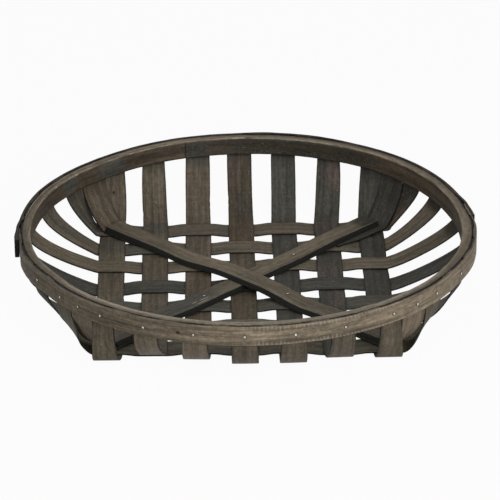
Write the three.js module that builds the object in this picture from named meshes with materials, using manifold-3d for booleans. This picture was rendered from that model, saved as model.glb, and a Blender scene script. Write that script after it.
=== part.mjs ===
// A round-rimmed tobacco basket of flat wooden splints.
// Seven splints run front to back and seven run side to side in a plain weave. A short splint
// fills each corner, and two thick braces lie crosswise over their ends and hold the floor flat.
// Every splint turns up at its ends and is nailed between an inner and an outer hoop.
// Millimetres and degrees. The origin is on the underside of the floor at its middle, +Z is up,
// -Y is the front and +X is the right. An azimuth starts at the back and goes round by the right.

import * as THREE from 'three';
import { mergeVertices } from 'three/addons/utils/BufferGeometryUtils.js';
import Module from 'manifold-3d';

const wasm = await Module();
wasm.setup();

// Clearance between pieces that touch
const FIT = 0.3;

// Rim
const RIM_RADIUS = 250;
const RIM_TOP = 76;
const OUTER_HOOP_THICKNESS = 3;
const OUTER_HOOP_HEIGHT = 21.5;
const INNER_HOOP_THICKNESS = 9;
const INNER_HOOP_HEIGHT = 21;
const INNER_HOOP_WEAR = 2;
const HOOP_STEP = 3.75;

// The inner hoop is one band whose thinned ends overlap in a long scarf
const SCARF_START = -84;
const SCARF_END = -16.3;
const SCARF_TIP = 1.5;
const SCARF_STEP = 0.004;

// The outer hoop is two half bands, and the back one laps outside the front one
const BACK_BAND_LEFT = -95.2;
const BACK_BAND_RIGHT = 86;
const FRONT_BAND_LEFT = -88;
const FRONT_BAND_RIGHT = 77;
const FRONT_BAND_TIP = 1.5;
const LAP_RAMP = 8;
const LAP_MARGIN = 1;

// Splints
const SPLINTS_EACH_WAY = 7;
const SPLINT_WIDTH = 28;
const SPLINT_THICKNESS = 1.6;
const SPLINT_PITCH = 48.7;
const END_DROP = 1;
const CROSSING_MARGIN = 1;
const CORNER_GAP = 1.2;
const ENTRY_MARGIN = 1;

// The columns lie a little left of the middle, and the rows a little off an even spacing
const COLUMN_SHIFT = -5;
const ROW_NUDGES = [-1.3, 0.3, 2, 1.5, 0.5, -2, -2.5];

// Turns of each end round the rim, off an even spacing, in degrees
const COLUMN_FRONT_NUDGES = [-0.8, -1.1, -1, -1.4, -2.1, -2.2, -1.2];
const COLUMN_BACK_NUDGES = [0.4, 0.1, -0.1, -1.1, -1.7, -1.4, -1.3];
const ROW_LEFT_NUDGES = [0, 1, 1, -0.5, 0, 0, -1.2];
const ROW_RIGHT_NUDGES = [-1.3, -2, -0.7, 0, 0, 0, 0];

// Shape of the walls: how far each holds to the floor's level, and how far down from the rim it
// hangs upright, before it curves
const BACK_WALL = { flat: 30, upright: 21 };
const FRONT_FLATS = [26, 3, 14, 39, 35, 27, 28];
const FRONT_UPRIGHT = 21;
const LEFT_WALL = { flat: 3, upright: 25 };
const RIGHT_WALL = { flat: 13, upright: 17 };
const CORNER_WALL = { flat: 8, upright: 14 };
const WALL_STEPS = 8;
const TWIST_START = 0.4;

// Splints of the corners: the direction of each, how far beside it the splint lies on the floor,
// and how far its end in the rim is turned
const CORNER_SPLINTS = {
  back_right: { direction: 45, shift: 0.3, nudge: -1.3 },
  front_right: { direction: 135, shift: -3, nudge: 0.5 },
  front_left: { direction: 225, shift: 5, nudge: 1.2 },
  back_left: { direction: 315, shift: -1.5, nudge: 0.1 },
};
const CORNER_SPLINT_WIDTH = 30;
const CORNER_SPLINT_START = 138;
const CORNER_SPLINT_REACH = 209;
const CORNER_SPLINT_WALL = { flat: 11, upright: 20 };

// Braces: the lower one and the upper one, which bends over it
const BRACE_WIDTH = 22.5;
const BRACE_THICKNESS = 5.5;
const BRACE_END_GAP = 2;
const BRACE_DIRECTIONS = [44.7, -45.5];
const BRACE_SHIFTS = [-6, -0.3];
const BRACE_BEND = 75;
const BRACE_LIFT = 50;
const BRACE_REST = 3;
const BRACE_STEPS = 12;

// Nails
const SHANK_RADIUS = 0.8;
const HEAD_RADIUS = 2;
const HEAD_THICKNESS = 0.7;
const RIM_NAIL_DROP = 11;
const RIM_NAIL_BITE = 6;
const BRACE_NAILS = {
  brace_nail_lower_front: { brace: 0, at: -62 },
  brace_nail_lower_back: { brace: 0, at: 81 },
  brace_nail_upper_front: { brace: 1, at: -61 },
};
const NAIL_SIDES = 6;

// Sizes that follow from the ones above
const SPLINT_OUTER_FACE = RIM_RADIUS - OUTER_HOOP_THICKNESS - FIT;
const SPLINT_RADIUS = SPLINT_OUTER_FACE - SPLINT_THICKNESS / 2;
const INNER_HOOP_OUTSIDE = SPLINT_OUTER_FACE - SPLINT_THICKNESS - FIT;
const INNER_HOOP_INSIDE = INNER_HOOP_OUTSIDE - INNER_HOOP_THICKNESS;
const RIM_ENTRY = RIM_TOP - Math.max(OUTER_HOOP_HEIGHT, INNER_HOOP_HEIGHT) - ENTRY_MARGIN;
const LOW_LEVEL = SPLINT_THICKNESS / 2;
const LAYER = SPLINT_THICKNESS + FIT;
const HIGH_LEVEL = LOW_LEVEL + LAYER;
const CORNER_LEVEL = HIGH_LEVEL + LAYER;
const BRACE_LEVEL = HIGH_LEVEL + LAYER / 2 + (BRACE_THICKNESS + FIT) / 2;
const BRACE_LENGTH = 2 * (CORNER_SPLINT_REACH - BRACE_END_GAP);
const MIDDLE = (SPLINTS_EACH_WAY - 1) / 2;
const RAD = Math.PI / 180;

const cornerSpread = (CORNER_SPLINT_WIDTH + SPLINT_WIDTH) / 2 + CORNER_GAP;
const CORNER_END = 45 - cornerSpread / SPLINT_RADIUS / RAD;
const cornerSwing = Math.max(...Object.values(CORNER_SPLINTS).map(({ shift }) => Math.abs(shift)));
const CORNER_FOOT = (CORNER_SPLINT_REACH + CORNER_SPLINT_WIDTH / 2 + cornerSwing) * Math.SQRT1_2;
const END_STEP = CORNER_END / MIDDLE;

const SHADES = {
  brown: 0x5b4c41,
  grey: 0x454341,
  tan: 0x66574a,
  steel: 0xb9b6ae,
};

function material(shade, metalness = 0) {
  return new THREE.MeshStandardMaterial({
    color: SHADES[shade],
    roughness: metalness > 0 ? 0.4 : 0.8,
    metalness,
  });
}

// Plan directions for an azimuth: away from the middle, and round by the right
function outward(azimuth) {
  return new THREE.Vector3(Math.sin(azimuth * RAD), Math.cos(azimuth * RAD), 0);
}

function sideways(azimuth) {
  return new THREE.Vector3(Math.cos(azimuth * RAD), -Math.sin(azimuth * RAD), 0);
}

function smooth(t) {
  const s = Math.min(Math.max(t, 0), 1);
  return s * s * (3 - 2 * s);
}

// Closed skin over rings of points; each ring is a band of pairs that the end caps join up
function loft(rings) {
  const count = rings[0].length;
  const index = [];
  for (let i = 0; i + 1 < rings.length; i++) {
    for (let k = 0; k < count; k++) {
      const a = i * count + k;
      const b = i * count + ((k + 1) % count);
      index.push(a, b, b + count, a, b + count, a + count);
    }
  }
  const last = (rings.length - 1) * count;
  for (let k = 0; k < count / 2 - 1; k++) {
    const [a, b, c, d] = [k, k + 1, count - 2 - k, count - 1 - k];
    index.push(a, c, b, a, d, c);
    index.push(last + a, last + b, last + c, last + a, last + c, last + d);
  }
  const geometry = new THREE.BufferGeometry();
  const positions = rings.flat().flatMap((p) => [p.x, p.y, p.z]);
  geometry.setAttribute('position', new THREE.Float32BufferAttribute(positions, 3));
  geometry.setIndex(index);
  return facingOut(geometry);
}

// Turns the faces round where they point inwards
function facingOut(geometry) {
  const p = geometry.getAttribute('position');
  const index = Array.from(geometry.getIndex().array);
  const [a, b, c] = [new THREE.Vector3(), new THREE.Vector3(), new THREE.Vector3()];
  let volume = 0;
  for (let i = 0; i < index.length; i += 3) {
    a.fromBufferAttribute(p, index[i]);
    b.fromBufferAttribute(p, index[i + 1]);
    c.fromBufferAttribute(p, index[i + 2]);
    volume += a.dot(b.cross(c));
  }
  if (volume < 0) {
    geometry.setIndex(index.reverse());
  }
  return geometry;
}

function solidOf(geometry) {
  const bare = geometry.clone();
  bare.deleteAttribute('normal');
  bare.deleteAttribute('uv');
  const merged = mergeVertices(bare, 1e-4);
  return new wasm.Manifold(new wasm.Mesh({
    numProp: 3,
    vertProperties: new Float32Array(merged.getAttribute('position').array),
    triVerts: new Uint32Array(merged.getIndex().array),
  }));
}

function geometryOf(solid) {
  const mesh = solid.getMesh();
  const geometry = new THREE.BufferGeometry();
  geometry.setAttribute('position', new THREE.Float32BufferAttribute(mesh.vertProperties, 3));
  geometry.setIndex(Array.from(mesh.triVerts));
  return geometry;
}

// A flat strip that follows stations of { point, along, across, bow }, where bow is the share of
// the rim's curvature that its section has taken up
function stripGeometry(stations, width, thickness) {
  const half = width / 2;
  const rings = stations.map(({ point, along, across, bow }) => {
    const wide = across.clone().addScaledVector(along, -across.dot(along)).normalize();
    const inner = wide.clone().cross(along).normalize();
    const at = (u, side) => {
      const lift = side * thickness / 2 + bow * u * u / (2 * SPLINT_RADIUS);
      return point.clone().addScaledVector(wide, u).addScaledVector(inner, lift);
    };
    return [at(-half, 1), at(0, 1), at(half, 1), at(half, -1), at(0, -1), at(-half, -1)];
  });
  return loft(rings);
}

// Stations of one wall, from the floor's edge up to the splint's end in the rim
function wallStations({ foot, azimuth, across, wall }) {
  const top = outward(azimuth).multiplyScalar(SPLINT_RADIUS);
  const run = new THREE.Vector3(top.x - foot.x, top.y - foot.y, 0);
  const length = run.length();
  run.normalize();
  const corners = [
    new THREE.Vector2(0, foot.z),
    new THREE.Vector2(wall.flat, foot.z),
    new THREE.Vector2(length, RIM_ENTRY - wall.upright),
    new THREE.Vector2(length, RIM_ENTRY),
  ];
  const curve = new THREE.CubicBezierCurve(...corners);
  const round = sideways(azimuth);
  round.multiplyScalar(Math.sign(round.dot(across)));
  const stations = [];
  for (let i = 1; i <= WALL_STEPS; i++) {
    const t = i / WALL_STEPS;
    const place = curve.getPoint(t);
    const slope = curve.getTangent(t);
    const turned = smooth((t - TWIST_START) / (1 - TWIST_START));
    stations.push({
      point: new THREE.Vector3(foot.x, foot.y, place.y).addScaledVector(run, place.x),
      along: run.clone().multiplyScalar(slope.x).setZ(slope.y),
      across: across.clone().lerp(round, turned).normalize(),
      bow: turned,
    });
  }
  stations.push({
    point: top.clone().setZ(RIM_TOP - END_DROP),
    along: new THREE.Vector3(0, 0, 1),
    across: round,
    bow: 1,
  });
  return stations;
}

// A whole splint: floor stations of { at, level } along its direction, and a wall at each end
// that has one
function splintGeometry({ direction, lane, floor, width, ends }) {
  const along = outward(direction);
  const across = sideways(direction);
  const floorStations = floor.map(({ at, level }) => ({
    point: along.clone().multiplyScalar(at).addScaledVector(across, lane).setZ(level),
    along,
    across,
    bow: 0,
  }));
  const walls = ends.map((end, i) => (end === null ? [] : wallStations({
    foot: floorStations[i === 0 ? 0 : floorStations.length - 1].point,
    azimuth: end.azimuth,
    across,
    wall: end.wall,
  })));
  const near = walls[0].reverse().map((s) => ({ ...s, along: s.along.clone().negate() }));
  return stripGeometry([...near, ...floorStations, ...walls[1]], width, SPLINT_THICKNESS);
}

const numbers = Array.from({ length: SPLINTS_EACH_WAY }, (_, i) => i);
const columnLanes = numbers.map((i) => COLUMN_SHIFT + (i - MIDDLE) * SPLINT_PITCH);
const rowLanes = numbers.map((i) => (i - MIDDLE) * SPLINT_PITCH - (ROW_NUDGES[i] ?? 0));

function isOutermost(i) {
  return i === 0 || i === SPLINTS_EACH_WAY - 1;
}

// Flats at each crossing, high where the splint passes over and low where it passes under; the
// outermost splints stay flat until the corner ones have left the floor
function wovenFloor(i, crossings, isOver) {
  const reach = SPLINT_WIDTH / 2 + CROSSING_MARGIN;
  const floor = crossings.flatMap(({ at, number }) => {
    const level = isOver(number) ? HIGH_LEVEL : LOW_LEVEL;
    return [{ at: at - reach, level }, { at: at + reach, level }];
  });
  const least = isOutermost(i) ? CORNER_FOOT : 0;
  floor[0].at = Math.min(floor[0].at, -least);
  floor[floor.length - 1].at = Math.max(floor[floor.length - 1].at, least);
  return floor;
}

// The outermost splints stand out round the corners
function wallOf(i, wall) {
  return isOutermost(i) ? CORNER_WALL : wall;
}

function columnSplint(i) {
  const crossings = rowLanes.map((lane, number) => ({ at: -lane, number })).reverse();
  const even = (i - MIDDLE) * END_STEP;
  const front = 180 - even - (COLUMN_FRONT_NUDGES[i] ?? 0);
  const back = even + (COLUMN_BACK_NUDGES[i] ?? 0);
  const frontWall = { flat: FRONT_FLATS[i] ?? FRONT_FLATS[0], upright: FRONT_UPRIGHT };
  return {
    geometry: splintGeometry({
      direction: 0,
      lane: columnLanes[i],
      floor: wovenFloor(i, crossings, (row) => (row + i) % 2 === 1),
      width: SPLINT_WIDTH,
      ends: [
        { azimuth: front, wall: frontWall },
        { azimuth: back, wall: wallOf(i, BACK_WALL) },
      ],
    }),
    endAzimuths: [front, back],
  };
}

function rowSplint(i) {
  const crossings = columnLanes.map((at, number) => ({ at, number }));
  const left = 270 - (i - MIDDLE) * END_STEP - (ROW_LEFT_NUDGES[i] ?? 0);
  const right = 90 + (i - MIDDLE) * END_STEP + (ROW_RIGHT_NUDGES[i] ?? 0);
  return {
    geometry: splintGeometry({
      direction: 90,
      lane: rowLanes[i],
      floor: wovenFloor(i, crossings, (column) => (column + i) % 2 === 0),
      width: SPLINT_WIDTH,
      ends: [
        { azimuth: left, wall: wallOf(i, LEFT_WALL) },
        { azimuth: right, wall: wallOf(i, RIGHT_WALL) },
      ],
    }),
    endAzimuths: [left, right],
  };
}

// A short splint from under a brace's end out to the rim
function cornerSplint({ direction, shift, nudge }) {
  return {
    geometry: splintGeometry({
      direction,
      lane: shift,
      floor: [
        { at: CORNER_SPLINT_START, level: CORNER_LEVEL },
        { at: CORNER_SPLINT_REACH, level: CORNER_LEVEL },
      ],
      width: CORNER_SPLINT_WIDTH,
      ends: [null, { azimuth: direction + nudge, wall: CORNER_SPLINT_WALL }],
    }),
    endAzimuths: [direction + nudge],
  };
}

// Height of a brace's middle plane above the floor, at a distance from the basket's middle: it
// lies on the weave, rises onto the corner splints, and the upper one bends over the lower one
function braceLevel(i, distance) {
  const clear = BRACE_WIDTH / 2 + BRACE_REST + Math.abs(BRACE_SHIFTS[1 - i]);
  const crest = i * (BRACE_THICKNESS + FIT) * (1 - smooth((Math.abs(distance) - clear) / BRACE_BEND));
  const resting = CORNER_SPLINT_START - BRACE_REST;
  const lift = LAYER * smooth((Math.abs(distance) - resting) / BRACE_LIFT + 1);
  return BRACE_LEVEL + Math.max(crest, lift);
}

function bracePlacement(i) {
  return { along: outward(BRACE_DIRECTIONS[i]), across: sideways(BRACE_DIRECTIONS[i]) };
}

function braceGeometry(i) {
  const { along, across } = bracePlacement(i);
  const stations = [];
  for (let k = -BRACE_STEPS; k <= BRACE_STEPS; k++) {
    const at = k / BRACE_STEPS * BRACE_LENGTH / 2;
    stations.push({
      point: along.clone().multiplyScalar(at).addScaledVector(across, BRACE_SHIFTS[i])
        .setZ(braceLevel(i, at)),
      along,
      across,
      bow: 0,
    });
  }
  return stripGeometry(stations, BRACE_WIDTH, BRACE_THICKNESS);
}

// A hoop's band: stations of { azimuth, inner, outer } and a worn edge along its inner top
function bandGeometry(stations, height, wear) {
  const bottom = RIM_TOP - height;
  return loft(stations.map(({ azimuth, inner, outer }) => {
    const worn = Math.min(wear, (outer - inner) / 2);
    const at = (radius, z) => outward(azimuth).multiplyScalar(radius).setZ(z);
    return [
      at(inner, bottom),
      at(inner, RIM_TOP - worn),
      at(inner + worn / 2, RIM_TOP),
      at(outer - worn / 4, RIM_TOP),
      at(outer, RIM_TOP - worn / 4),
      at(outer, bottom),
    ];
  }));
}

// Azimuths from one angle to another, evenly spaced
function azimuths(from, to) {
  const steps = Math.ceil(Math.abs(to - from) / HOOP_STEP);
  return Array.from({ length: steps + 1 }, (_, k) => from + (to - from) * k / steps);
}

function innerHoopGeometry() {
  const share = (azimuth) => (azimuth - SCARF_START) / (SCARF_END - SCARF_START);
  const split = (azimuth) => THREE.MathUtils.lerp(
    INNER_HOOP_OUTSIDE - SCARF_TIP, INNER_HOOP_INSIDE + SCARF_TIP, share(azimuth));
  const gap = FIT / INNER_HOOP_INSIDE / RAD;
  const full = { inner: INNER_HOOP_INSIDE, outer: INNER_HOOP_OUTSIDE };
  const scarf = azimuths(SCARF_START, SCARF_END);
  const stations = [
    ...scarf.map((a) => ({ ...full, azimuth: a, inner: split(a) + FIT / 2 })),
    { ...full, azimuth: SCARF_END + gap, inner: split(SCARF_END) + FIT / 2 },
    ...azimuths(SCARF_END + gap + SCARF_STEP, SCARF_START + 360 - gap - SCARF_STEP)
      .map((a) => ({ ...full, azimuth: a })),
    { ...full, azimuth: SCARF_START - gap + 360, outer: split(SCARF_START) - FIT / 2 },
    ...scarf.map((a) => ({ ...full, azimuth: a + 360, outer: split(a) - FIT / 2 })),
  ];
  return bandGeometry(stations, INNER_HOOP_HEIGHT, INNER_HOOP_WEAR);
}

// How far the back half band stands out over the thinned ends of the front one
function backBandLift(azimuth) {
  const past = Math.max(azimuth - FRONT_BAND_RIGHT, FRONT_BAND_LEFT - azimuth) + LAP_MARGIN;
  return (FRONT_BAND_TIP + FIT) * smooth(1 + past / LAP_RAMP);
}

// Thickness of the front half band, which thins towards the ends of the back one
function frontBandThickness(azimuth) {
  const clear = Math.min(azimuth - BACK_BAND_RIGHT, BACK_BAND_LEFT + 360 - azimuth) - LAP_MARGIN;
  return THREE.MathUtils.lerp(FRONT_BAND_TIP, OUTER_HOOP_THICKNESS, smooth(clear / LAP_RAMP));
}

function outerHoopGeometry(isBack) {
  const inside = RIM_RADIUS - OUTER_HOOP_THICKNESS;
  const places = isBack
    ? azimuths(BACK_BAND_LEFT, BACK_BAND_RIGHT)
    : azimuths(FRONT_BAND_RIGHT, FRONT_BAND_LEFT + 360);
  const stations = places.map((azimuth) => {
    const lift = isBack ? backBandLift(azimuth) : 0;
    const thickness = isBack ? OUTER_HOOP_THICKNESS : frontBandThickness(azimuth);
    return { azimuth, inner: inside + lift, outer: inside + lift + thickness };
  });
  return bandGeometry(stations, OUTER_HOOP_HEIGHT, OUTER_HOOP_THICKNESS / 4);
}

// Outside of the rim at an azimuth, on whichever half band lies outermost there
function rimFace(azimuth) {
  const turned = THREE.MathUtils.euclideanModulo(azimuth - BACK_BAND_LEFT, 360) + BACK_BAND_LEFT;
  if (turned < BACK_BAND_RIGHT) {
    return RIM_RADIUS + backBandLift(turned);
  }
  return RIM_RADIUS - OUTER_HOOP_THICKNESS + frontBandThickness(turned);
}

// A nail along +Y with the underside of its head at the origin
function nailGeometry(length) {
  const profile = [
    new THREE.Vector2(0, -length),
    new THREE.Vector2(SHANK_RADIUS, -length),
    new THREE.Vector2(SHANK_RADIUS, 0),
    new THREE.Vector2(HEAD_RADIUS, 0),
    new THREE.Vector2(HEAD_RADIUS, HEAD_THICKNESS / 2),
    new THREE.Vector2(0, HEAD_THICKNESS),
  ];
  const turned = new THREE.LatheGeometry(profile, NAIL_SIDES);
  turned.deleteAttribute('normal');
  turned.deleteAttribute('uv');
  return facingOut(mergeVertices(turned, 1e-4));
}

function boreSolid(length, place) {
  const radius = (SHANK_RADIUS + FIT) / Math.cos(Math.PI / NAIL_SIDES);
  const bore = new THREE.CylinderGeometry(radius, radius, length + 2 * FIT, NAIL_SIDES);
  bore.translate(0, -length / 2, 0);
  bore.applyMatrix4(place);
  return solidOf(bore);
}

// Places of the nails, each with what it passes through
function rimNail(name, azimuth, splint) {
  const seat = rimFace(azimuth) + FIT;
  const place = new THREE.Matrix4().makeRotationZ(-azimuth * RAD);
  place.setPosition(outward(azimuth).multiplyScalar(seat).setZ(RIM_TOP - RIM_NAIL_DROP));
  return {
    name,
    place,
    length: seat - (INNER_HOOP_OUTSIDE - RIM_NAIL_BITE),
    through: ['outer_hoop_back', 'outer_hoop_front', 'inner_hoop', splint],
  };
}

function braceNail(name, i, at) {
  const { along, across } = bracePlacement(i);
  const seat = braceLevel(i, at) + BRACE_THICKNESS / 2 + FIT;
  const place = new THREE.Matrix4().makeRotationX(Math.PI / 2);
  place.setPosition(
    along.clone().multiplyScalar(at).addScaledVector(across, BRACE_SHIFTS[i]).setZ(seat));
  return {
    name,
    place,
    length: seat - LOW_LEVEL,
    through: Object.keys(pieces).filter((piece) => !piece.includes('hoop')),
  };
}

const pieces = {};
const nails = [];

function addPiece(name, geometry, shade) {
  pieces[name] = { geometry, shade };
}

function addSplint(name, { geometry, endAzimuths }, shade, sides) {
  addPiece(name, geometry, shade);
  endAzimuths.forEach((azimuth, i) => {
    nails.push(rimNail(`rim_nail_${name.replace('_splint', '')}${sides[i]}`, azimuth, name));
  });
}

const COLUMN_SHADES = ['brown', 'brown', 'brown', 'grey', 'grey', 'grey', 'grey'];
const ROW_SHADES = ['brown', 'brown', 'brown', 'grey', 'grey', 'brown', 'grey'];

numbers.forEach((i) => {
  const shade = COLUMN_SHADES[i] ?? 'brown';
  addSplint(`column_splint_${i + 1}`, columnSplint(i), shade, ['_front', '_back']);
});
numbers.forEach((i) => {
  const shade = ROW_SHADES[i] ?? 'brown';
  addSplint(`row_splint_${i + 1}`, rowSplint(i), shade, ['_left', '_right']);
});
Object.entries(CORNER_SPLINTS).forEach(([corner, splint]) => {
  const shade = corner === 'back_right' ? 'grey' : 'brown';
  addSplint(`corner_splint_${corner}`, cornerSplint(splint), shade, ['']);
});
addPiece('brace_lower', braceGeometry(0), 'brown');
addPiece('brace_upper', braceGeometry(1), 'brown');
addPiece('inner_hoop', innerHoopGeometry(), 'brown');
addPiece('outer_hoop_back', outerHoopGeometry(true), 'brown');
addPiece('outer_hoop_front', outerHoopGeometry(false), 'tan');
Object.entries(BRACE_NAILS).forEach(([name, { brace, at }]) => {
  nails.push(braceNail(name, brace, at));
});

// Bores for the nails, cut where a nail meets a piece
const solids = Object.fromEntries(
  Object.entries(pieces).map(([name, { geometry }]) => [name, solidOf(geometry)]));
nails.forEach(({ place, length, through }) => {
  const bore = boreSolid(length, place);
  through.forEach((name) => {
    if (bore.intersect(solids[name]).volume() > 0) {
      solids[name] = solids[name].subtract(bore);
    }
  });
});

const basket = new THREE.Group();
basket.name = 'tobacco_basket';

Object.entries(pieces).forEach(([name, { shade }]) => {
  const mesh = new THREE.Mesh(geometryOf(solids[name]), material(shade));
  mesh.name = name;
  basket.add(mesh);
});

nails.forEach(({ name, place, length }) => {
  const mesh = new THREE.Mesh(nailGeometry(length), material('steel', 0.8));
  mesh.name = name;
  mesh.applyMatrix4(place);
  basket.add(mesh);
});

export default basket;
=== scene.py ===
import math
import random

import bmesh
import bpy
import numpy as np
from mathutils import Matrix, Vector

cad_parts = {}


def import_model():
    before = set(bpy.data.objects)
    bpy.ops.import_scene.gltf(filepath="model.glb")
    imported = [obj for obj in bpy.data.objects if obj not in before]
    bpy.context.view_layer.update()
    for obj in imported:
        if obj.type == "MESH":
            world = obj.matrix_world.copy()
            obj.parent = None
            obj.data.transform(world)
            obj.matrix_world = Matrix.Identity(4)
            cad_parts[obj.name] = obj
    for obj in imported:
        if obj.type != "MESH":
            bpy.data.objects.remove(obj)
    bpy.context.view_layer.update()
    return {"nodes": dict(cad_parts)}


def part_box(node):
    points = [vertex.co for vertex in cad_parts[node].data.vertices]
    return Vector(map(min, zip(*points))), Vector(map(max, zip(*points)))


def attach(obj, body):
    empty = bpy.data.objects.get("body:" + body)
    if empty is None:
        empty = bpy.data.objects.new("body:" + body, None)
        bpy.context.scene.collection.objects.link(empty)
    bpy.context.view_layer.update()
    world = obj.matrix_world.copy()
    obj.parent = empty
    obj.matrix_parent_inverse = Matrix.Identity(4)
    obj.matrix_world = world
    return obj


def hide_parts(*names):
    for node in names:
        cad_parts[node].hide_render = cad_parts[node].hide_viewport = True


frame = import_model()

# A round-rimmed tobacco basket of dark stained splints. Shapes are worked out in millimetres, in the
# frame's sizes, and written to meshes in metres. The origin is under the middle of the floor, +Z is
# up and -Y the front. An azimuth is in degrees, from the back round by the right. Touching pieces
# keep a gap of FIT.
MM = 0.001
FIT = 0.3

# Rim: the inner hoop's ends overlap in a scarf, and the back band's lap over the front band's thin
# ends. Places and steps round the rim are in degrees. LAP_EXTRA thickens the right and the left lap.
RIM_RADIUS = 250
RIM_TOP = 76
OUTER_HOOP_THICKNESS = 3
OUTER_HOOP_HEIGHT = 21.5
INNER_HOOP_THICKNESS = 9
INNER_HOOP_HEIGHT = 21
SCARF_START = -84
SCARF_END = -16.3
SCARF_TIP = 1.5
BACK_BAND = (-96.6, 86)
FRONT_BAND = (79, 270)
FRONT_BAND_TIP = 1.5
LAP_RAMP = 5.5
LAP_MARGIN = 0.5
LAP_EXTRA = (0, 1.9)
HOOP_STEP = 0.5
INNER_HOOP_WEAR = 1.5
BAND_WEAR = 0.7
BAND_ARRIS = 0.45

# An outer band reaches in to the hoop between splints, from this far beside them, and not in a lap
REACH_START = 1
REACH_RAMP = 3
LAID_OVER = 0.1

# Splints: their ends are END_DROP under the rim's top. ROW_NUDGES move rows back, in millimetres. The
# others move the columns' ends to the right and the rows' to the front, in degrees.
SPLINTS_EACH_WAY = 7
SPLINT_WIDTH = 28
SPLINT_THICKNESS = 1.6
SPLINT_PITCH = 48.7
END_DROP = 1
CROSSING_MARGIN = 1
CORNER_GAP = 1.2
ENTRY_MARGIN = 1
COLUMN_SHIFT = -5
ROW_NUDGES = [-1.3, 0.3, 2, 1.5, 0.5, -2, -2.5]
COLUMN_FRONT_NUDGES = [-0.8, -1.1, -1, -1.4, -2.1, -2.2, -1.2]
COLUMN_BACK_NUDGES = [0.8, 0.3, 0.2, -1.2, -2, -2, -1.8]
ROW_LEFT_NUDGES = [0, 0, 1.1, -0.8, 0, 0, -1.2]
ROW_RIGHT_NUDGES = [-1.5, -2.8, -0.7, -0.2, 0, 0, 0]

# Walls: how far each keeps to the floor's level, and how far it hangs upright from the rim
BACK_WALL = (30, 21)
FRONT_FLATS = [31, 1, 14, 41, 37, 27, 33]
FRONT_UPRIGHT = 21
LEFT_WALLS = [(8, 14), (0, 25), (0, 25), (3, 25), (3, 25), (4, 26), (7, 27)]
RIGHT_WALLS = [(2, 14), (13, 17), (13, 17), (13, 17), (13, 17), (21, 21), (11, 16)]
OUTERMOST_WALL = (8, 14)

# Where on its way up a wall starts to twist, the step between a splint's points, and the number of
# points that first make a wall's curve and its end between the hoops
TWIST_START = 0.1
STEP = 2.5
WALL_POINTS = 41
RIM_POINTS = 9

# Painted shade under the hoop: it starts at this height, and is fainter on the outer side
HOOP_SHADE_START = 34
OUTER_HOOP_SHADE = 0.35

# How each real strip strays from the even weave: the shift of its floor to the right, or to the
# front, at four places, and how much wider its floor and its walls are, either side of a reach
STRAY_PLACES = (-162, -125, 125, 162)
STRAY_REACH = (140, 190)
NO_STRAY = ((0, 0, 0, 0), 0, 0)
COLUMN_STRAYS = [
    ((1, 1, 0.6, 0.6), 1.5, 0), ((0.6, 0.6, 0.4, 0.4), 1.2, 0), ((-2, -1, 0.3, 0.3), 1, 0),
    ((0.4, 0.6, 0.4, 0.4), 0.8, 0), ((1.3, 0.7, 0.2, 0.2), 0.4, 0), ((0, -0.2, 0, 0), 0.8, 0),
    ((3.6, 3, 1, 1), 0.6, 0),
]
ROW_STRAYS = [
    ((-1, 0, 0, -5.5), 2, 0), ((-2.4, 0.5, 0.5, -3.2), 2, 2.5), ((-1.4, 0.3, 0.3, 0.8), 0.8, 2.5),
    ((5, 3, 1, 4.5), 2, 1), ((3, 3, -2.5, -2.5), 1, 0), ((0, 0, -0.5, -0.5), 1.5, 0),
    ((-1.2, -1.2, 3, 4), 4.6, 0),
]

# How far some rows' left and right walls bulge, at their back and front edge, between two heights
ROW_BULGES = {0: ((8.5, 0), (2, 0)), 5: ((13, 4), (0, 6)), 6: ((10, 8), (9, -2.5))}
BULGE_REACH = (6, 48)
NO_BULGE = ((0, 0), (0, 0))

# How uneven a sawn strip is: each wave's length and height, and the torn places along its edges
EDGE_WAVE, EDGE_ROUGHNESS = (110, 0.16), (9, 0.05)
WARP, CUP = (90, 0.05), (140, 0.1)
BRACE_WAVE = (160, 0.25)
MOST_NICKS = 5
NICKED_SHARE = 0.92
NICK_DEPTH, NICK_LENGTH = (0.15, 0.5), (2, 5)

# The same for a band's upper edge, its lower edge and its worn arris
TOP_WAVE, TOP_ROUGHNESS = (130, 0.25), (11, 0.06)
BOTTOM_WAVE, WEAR_WAVE = (110, 0.25), (60, 0.2)

# How far the real rim is out of round: azimuth and distance outwards. It grows between two distances
RIM_SHAPE = [(-90, 0.2), (-80, 0.2), (-67, 1.2), (-41, -1), (-18, 1.2), (-6, 0.9), (12, 1.2), (32, 1),
             (46, 1), (62, -1), (71, -2.2), (80, -2.2), (90, 0.2), (98, 1.2), (106, 1.9), (113, 0.9),
             (118, 0.4), (128, 1), (150, 0.5), (232, -0.6), (240, -2.3), (246, -0.6), (252, 0.9)]
RIM_SHAPE_REACH = (150, 240)

# How much lower the inner hoop reaches, how much thicker it is inwards and how much higher the back
# band's top is, each at some azimuths
INNER_HOOP_DROP = (38, 52, 100, 118), (0, 1.7, 1.7, 0)
INNER_HOOP_EXTRA = (80, 90, 104, 116), (0, 2, 2, 0)
BACK_BAND_RISE = (-4, 6, 20, 30), (0, 1.1, 1.1, 0)

# Corner splints: the direction of each, how far beside it the splint lies, its end's turn, its wall.
# They lie flat from the start to the reach, and narrow on each side at the hidden start, by the
# taper's first size over its second. Their neighbours' ends are this many degrees away at most.
CORNER_SPLINTS = {
    "back_right": (45, 0.3, -1.3, (11, 20)),
    "front_right": (135, -1, 0.5, (15, 24)),
    "front_left": (225, 5, 1.2, (15, 25)),
    "back_left": (315, -1.5, 0.1, (11, 20)),
}
CORNER_SPLINT_WIDTH = 30
CORNER_SPLINT_START = 138
CORNER_SPLINT_REACH = 209
CORNER_SPLINT_TAPER = (6, 34)
NEIGHBOUR_REACH = 12
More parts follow.
